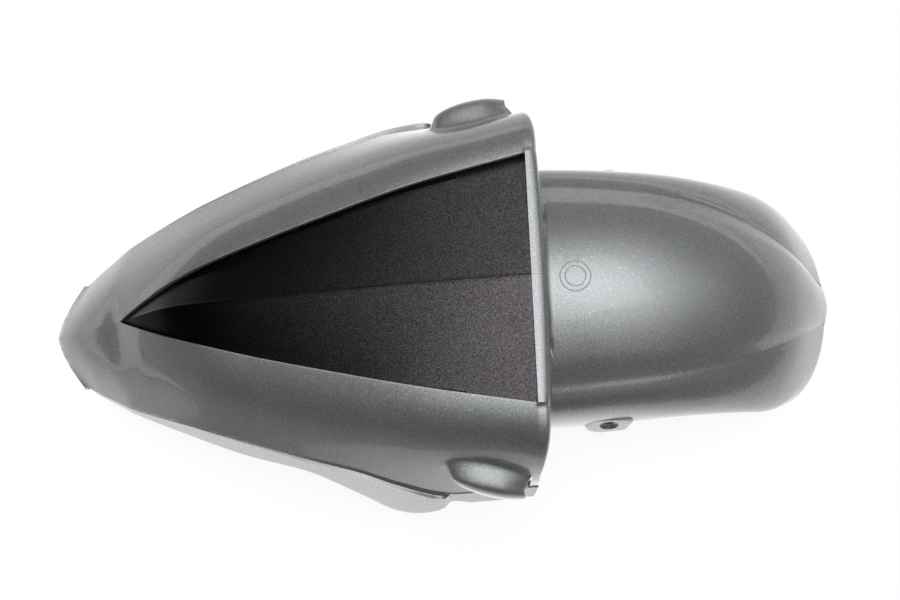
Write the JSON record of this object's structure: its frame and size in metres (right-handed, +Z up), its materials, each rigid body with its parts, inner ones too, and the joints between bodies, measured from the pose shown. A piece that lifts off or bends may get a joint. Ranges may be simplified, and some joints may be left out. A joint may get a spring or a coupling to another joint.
{
  "type": "motorcycle front mudguard",
  "caption": "Pointed front mudguard with a raised lip, a dark top insert, side bulges over its fixings and a domed rear wheel cover with drilled lugs.",
  "frame": {"origin": "middle of the length and width, on the plane of the nose and tail edges that the guard stands on", "axes": "-X towards the nose, +X towards the tail, +Z up, the part's two sides mirror each other across Y = 0"},
  "size_m": [0.538, 0.283, 0.1261],
  "materials": {
    "graphite_paint": "clear-coated metallic",
    "dark_insert": "satin with fine flakes"
  },
  "bodies": {
    "root": {"mudguard_shell": "graphite_paint", "hood_insert": "dark_insert"}
  },
  "joints": []
}
